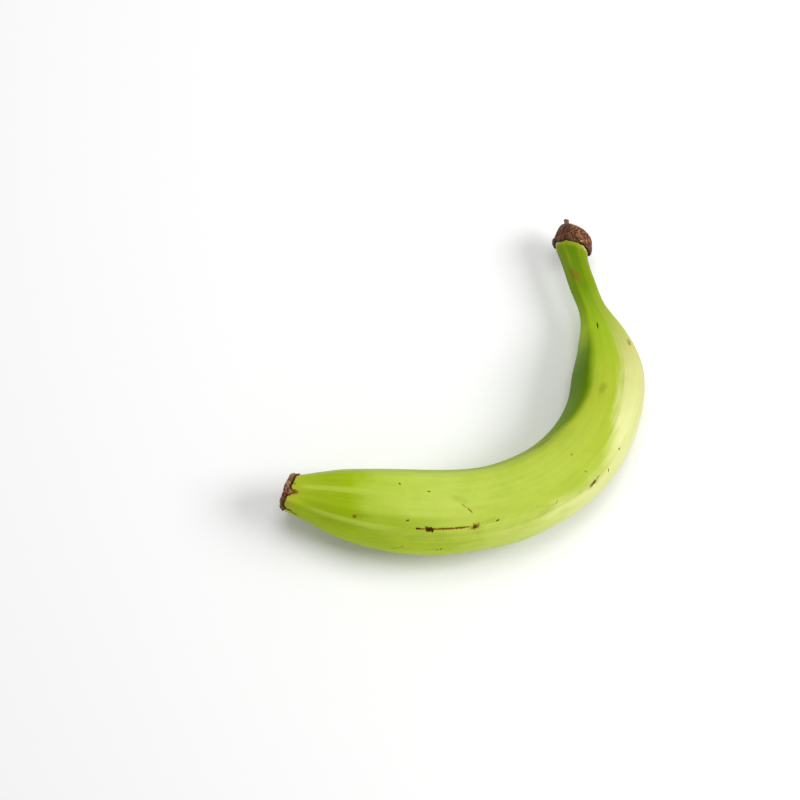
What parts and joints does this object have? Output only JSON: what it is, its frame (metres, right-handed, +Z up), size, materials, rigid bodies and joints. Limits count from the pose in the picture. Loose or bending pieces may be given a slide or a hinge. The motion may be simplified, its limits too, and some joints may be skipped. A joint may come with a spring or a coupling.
{
  "type": "plantain",
  "caption": "Green plantain: a long, soft-ridged fruit bent towards its thin stalk, with a dried crown and a blunt blossom end, lying on its side.",
  "frame": {"origin": "on the surface that the fruit lies on, under the middle of its box", "axes": "+Z up; +X from the blossom end to the crown; the hollow side of the bend faces +Y"},
  "size_m": [0.2306, 0.1266, 0.0458],
  "materials": {
    "green_peel": "satin"
  },
  "bodies": {
    "root": {"plantain": "green_peel"}
  },
  "joints": []
}
